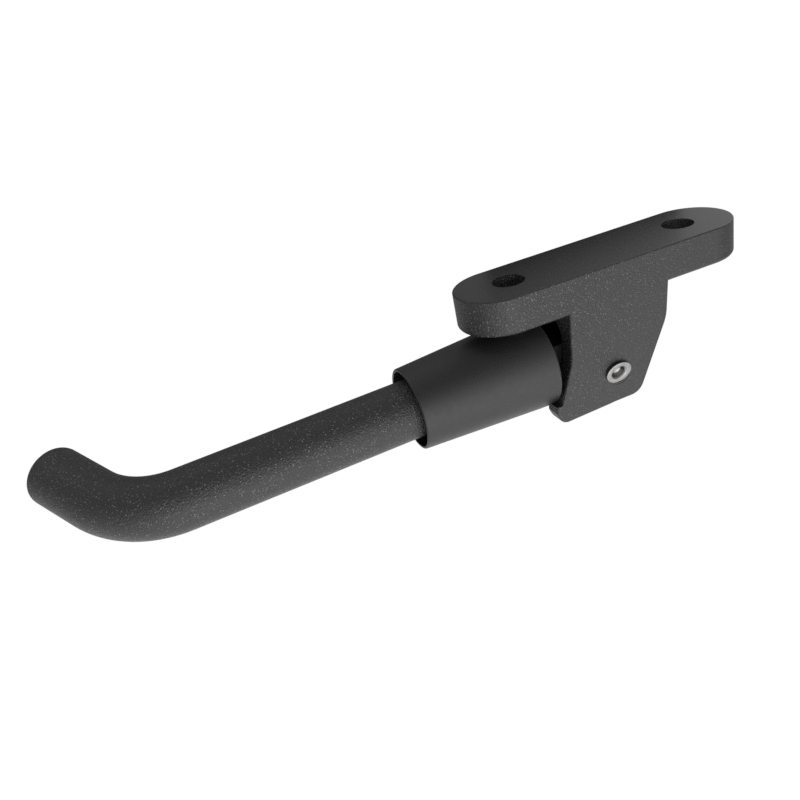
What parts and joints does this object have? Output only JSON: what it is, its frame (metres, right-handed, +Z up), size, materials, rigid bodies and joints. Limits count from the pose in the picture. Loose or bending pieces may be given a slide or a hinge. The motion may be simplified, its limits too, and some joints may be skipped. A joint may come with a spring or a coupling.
{
  "type": "electric scooter kickstand",
  "caption": "Folding side kickstand: cast clevis bracket with an obround mounting plate, bent round leg on a hollow rivet, and a sprung tapered sleeve.",
  "frame": {"origin": "centre of the plate's mounting face, midway between the two screw holes", "axes": "+Z up out of the mounting face, +X along the plate away from the leg's foot, +Y to the side the foot bends to"},
  "size_m": [0.1496, 0.0311, 0.0307],
  "materials": {
    "casting": "black sandy powder coat on a die casting",
    "bar": "black sandy powder coat on steel bar",
    "sleeve": "smooth satin black paint on a turned steel cup",
    "rivet": "bright zinc plate",
    "knuckle": "black oxide",
    "spring": "oiled spring wire"
  },
  "bodies": {
    "bracket": {"bracket": "casting", "pivot_rivet": "rivet"},
    "leg": {"knuckle": "knuckle", "leg": "bar", "return_spring": "spring"},
    "sleeve": {"spring_sleeve": "sleeve"}
  },
  "joints": [
    {"name": "leg_fold", "type": "hinge", "parent": "bracket", "child": "leg", "pos_m": [-0.00255, 0, -0.02315], "axis": [0, -1, 0], "range_deg": [0, 93]},
    {"name": "sleeve_slide", "type": "slide", "parent": "leg", "child": "sleeve", "axis": [-0.9996, 0, -0.0279], "range_m": [0, 0.005], "stiffness_N_per_m": 1500, "springref_m": -0.002, "deforming": ["return_spring"]}
  ]
}
